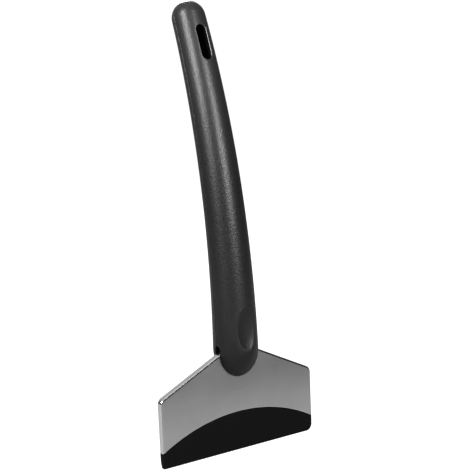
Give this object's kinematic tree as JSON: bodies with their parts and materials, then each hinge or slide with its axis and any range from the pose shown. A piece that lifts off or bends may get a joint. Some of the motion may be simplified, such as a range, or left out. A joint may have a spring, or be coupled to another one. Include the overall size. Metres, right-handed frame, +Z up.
{
  "type": "windshield ice scraper",
  "caption": "Hand-held windshield ice scraper: bent round plastic handle with thumb rest and hang slot, wedge-shaped metal-finished head and flush black plastic edge.",
  "frame": {"origin": "middle of the scraping edge, on its flat bottom land", "axes": "+X along the head's width, +Y out of the back, +Z up the handle; the front face, with the thumb rest, looks along -Y"},
  "size_m": [0.097, 0.0532, 0.2392],
  "materials": {
    "handle_plastic": "fine moulded texture, satin black",
    "head_metal": "satin brushed across the head",
    "blade_plastic": "matt black, smooth",
    "screw_steel": "zinc plated"
  },
  "bodies": {
    "root": {"handle_front_shell": "handle_plastic", "handle_back_shell": "handle_plastic", "head_plate": "head_metal", "scraper_blade": "blade_plastic", "lower_tang_screw": "screw_steel", "upper_tang_screw": "screw_steel", "middle_screw": "screw_steel", "end_screw": "screw_steel"}
  },
  "joints": []
}
